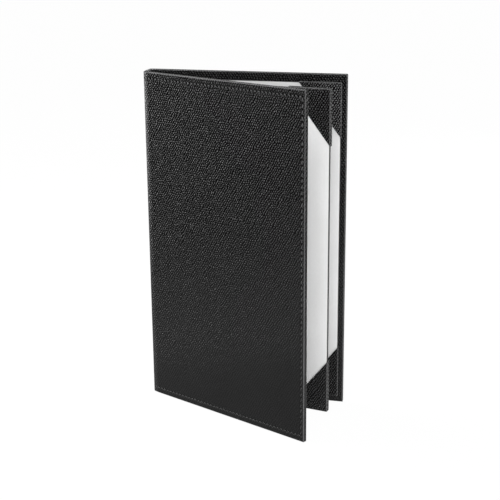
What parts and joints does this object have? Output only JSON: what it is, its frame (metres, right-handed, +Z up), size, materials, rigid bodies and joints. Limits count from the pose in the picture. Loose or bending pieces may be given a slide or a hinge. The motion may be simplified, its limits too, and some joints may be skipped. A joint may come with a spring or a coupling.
{
  "type": "menu cover",
  "caption": "Tall leather menu cover standing part open: two hinged boards, a spine and a middle leaf, each face with corner pockets that hold a menu card.",
  "frame": {"origin": "middle of the back cover's lower edge, half way along it and through its thickness, where it stands", "axes": "+Z up along the spine, +X along the back cover from hinge to free edge, -Y towards the front cover"},
  "size_m": [0.2218, 0.1177, 0.375],
  "materials": {
    "leather": "black pebbled leather, satin",
    "lining": "thin black lining leather, matt",
    "board": "pressed grey board",
    "menu_card": "smooth white card",
    "thread": "black sewing thread"
  },
  "bodies": {
    "back_cover": {"back_board": "board", "back_infill": "board", "back_menu_card": "menu_card", "back_outer_leather": "leather", "back_panel_board": "board", "back_panel_lining": "lining", "back_pocket_head_inner": "leather", "back_pocket_head_outer": "leather", "back_pocket_tail_inner": "leather", "back_pocket_tail_outer": "leather", "back_seam_thread": "thread"},
    "spine": {"back_hinge_leather": "leather", "back_hinge_lining": "lining", "front_hinge_leather": "leather", "front_hinge_lining": "lining", "leaf_tab": "leather", "spine_board": "board", "spine_leather": "leather", "spine_lining": "lining", "spine_seam_thread": "thread"},
    "front_cover": {"front_board": "board", "front_infill": "board", "front_menu_card": "menu_card", "front_outer_leather": "leather", "front_panel_board": "board", "front_panel_lining": "lining", "front_pocket_head_inner": "leather", "front_pocket_head_outer": "leather", "front_pocket_tail_inner": "leather", "front_pocket_tail_outer": "leather", "front_seam_thread": "thread"},
    "leaf": {"leaf_back_lining": "lining", "leaf_back_menu_card": "menu_card", "leaf_board": "board", "leaf_front_lining": "lining", "leaf_front_menu_card": "menu_card", "leaf_pocket_head_inner": "leather", "leaf_pocket_head_outer": "leather", "leaf_pocket_tail_inner": "leather", "leaf_pocket_tail_outer": "leather"}
  },
  "joints": [
    {"name": "back_hinge", "type": "hinge", "parent": "back_cover", "child": "spine", "pos_m": [-0.10925, -0.0005, 0], "axis": [0, 0, -1], "range_deg": [0, 90], "deforming": ["back_hinge_leather", "back_hinge_lining"]},
    {"name": "front_hinge", "type": "hinge", "parent": "spine", "child": "front_cover", "pos_m": [-0.10925, -0.0195, 0], "axis": [0, 0, -1], "range_deg": [-25.2, 64.8], "deforming": ["front_hinge_leather", "front_hinge_lining"]},
    {"name": "leaf_hinge", "type": "hinge", "parent": "spine", "child": "leaf", "pos_m": [-0.10665, -0.01, 0], "axis": [0, 0, -1], "range_deg": [-10.6, 27.3], "deforming": ["leaf_tab"]}
  ],
  "couplings": [
    {"joint": "leaf_hinge", "follows": "front_hinge", "ratio": 0.42063}
  ]
}
